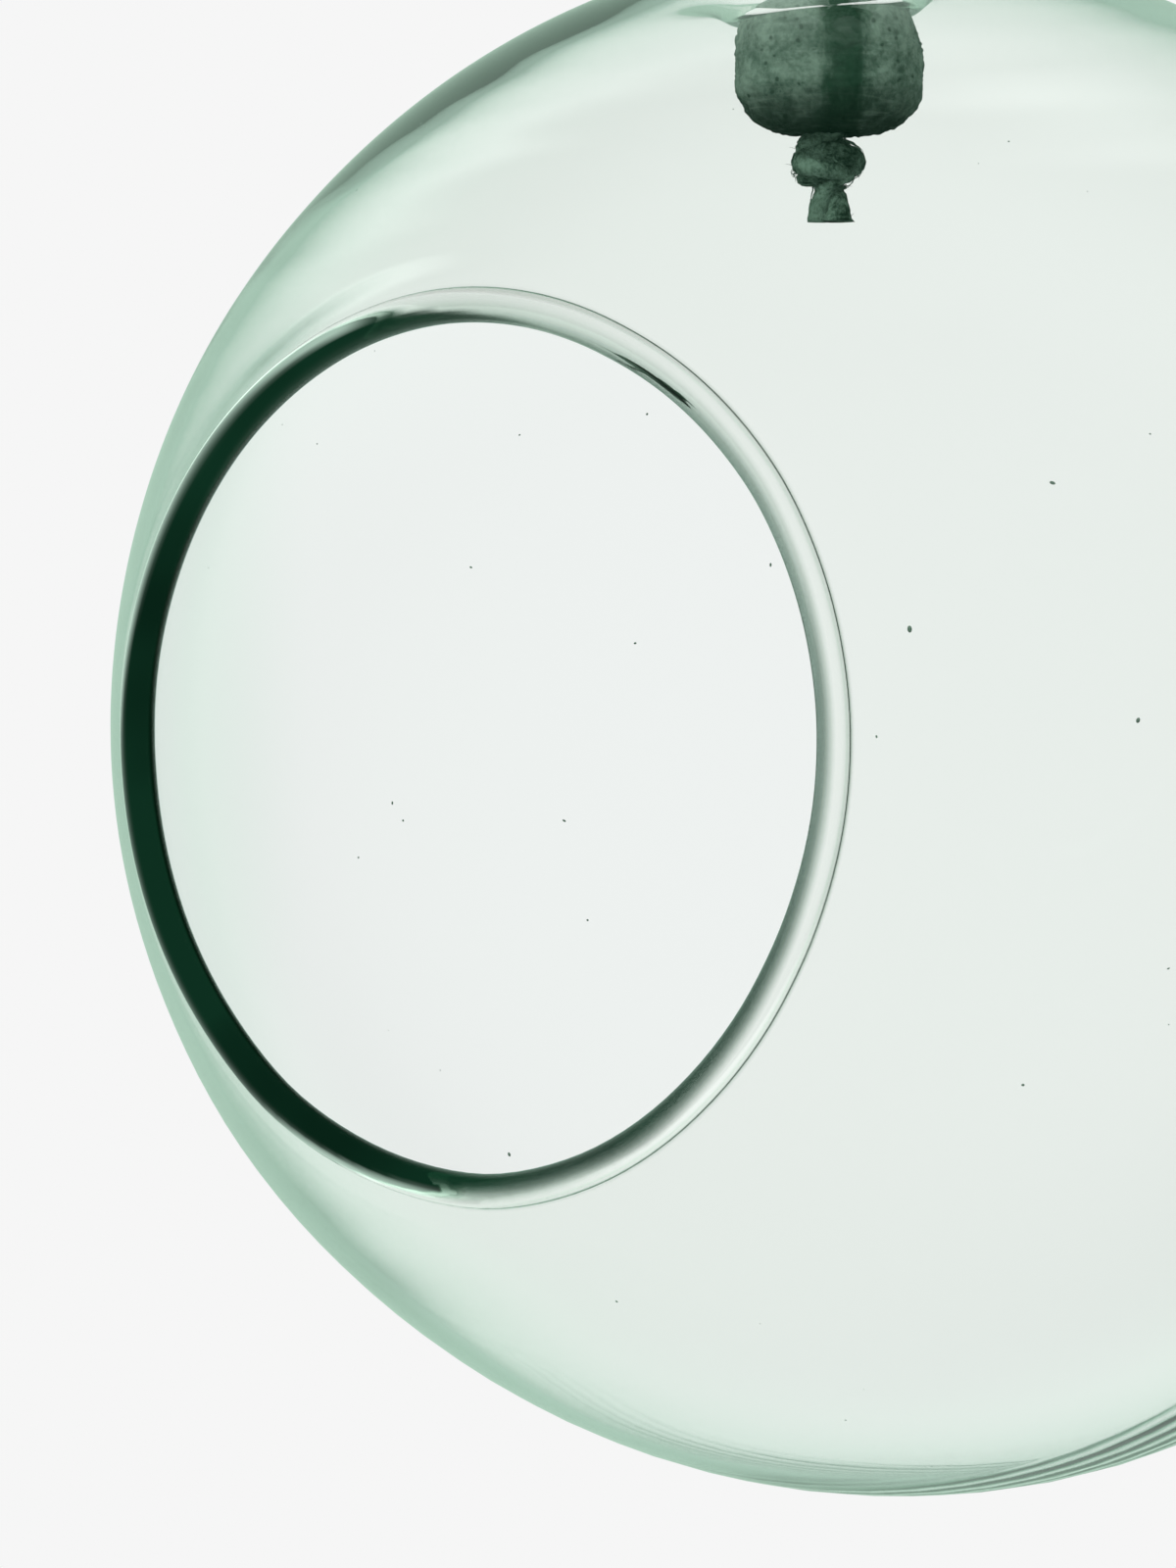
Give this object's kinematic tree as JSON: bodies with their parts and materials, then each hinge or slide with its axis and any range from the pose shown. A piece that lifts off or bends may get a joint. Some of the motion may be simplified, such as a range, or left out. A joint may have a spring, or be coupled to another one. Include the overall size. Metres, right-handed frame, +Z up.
{
  "type": "hanging planter",
  "caption": "Blown glass globe with a round side opening for plants, hung on a knotted fibre rope by a cork stopper that seats under the lip of its crown.",
  "frame": {"origin": "the point where a hook carries the rope's loop, inside the top of the loop", "axes": "+Z up along the rope, -Y out of the globe's side opening, +X to the right when looking into the opening"},
  "size_m": [0.2393, 0.229, 0.345],
  "materials": {
    "glass": "clear pale green, fire-polished",
    "cork": "rough, matt, weathered grey-green",
    "rope": "twisted natural fibre, matt"
  },
  "bodies": {
    "loop": {"hanging_loop": "rope"},
    "loop_knot": {"loop_knot": "rope", "loop_tail": "rope"},
    "rope": {"hanging_rope": "rope", "stopper_knot": "rope", "rope_tail": "rope"},
    "stopper": {"stopper": "cork"},
    "globe": {"glass_globe": "glass"}
  },
  "joints": [
    {"name": "swing_fore_aft", "type": "hinge", "parent": "loop", "child": "loop_knot", "pos_m": [0, 0, -0.04], "axis": [1, 0, 0], "range_deg": [-25, 25]},
    {"name": "swing_sideways", "type": "hinge", "parent": "loop_knot", "child": "rope", "pos_m": [0, 0, -0.054], "axis": [0, 1, 0], "range_deg": [-25, 25]},
    {"name": "stopper_turn", "type": "hinge", "parent": "rope", "child": "stopper", "pos_m": [0, 0, -0.1175], "axis": [0, 0, 1], "continuous": true},
    {"name": "globe_lift", "type": "slide", "parent": "stopper", "child": "globe", "axis": [0, 0, 1], "range_m": [0, 0.035]}
  ]
}
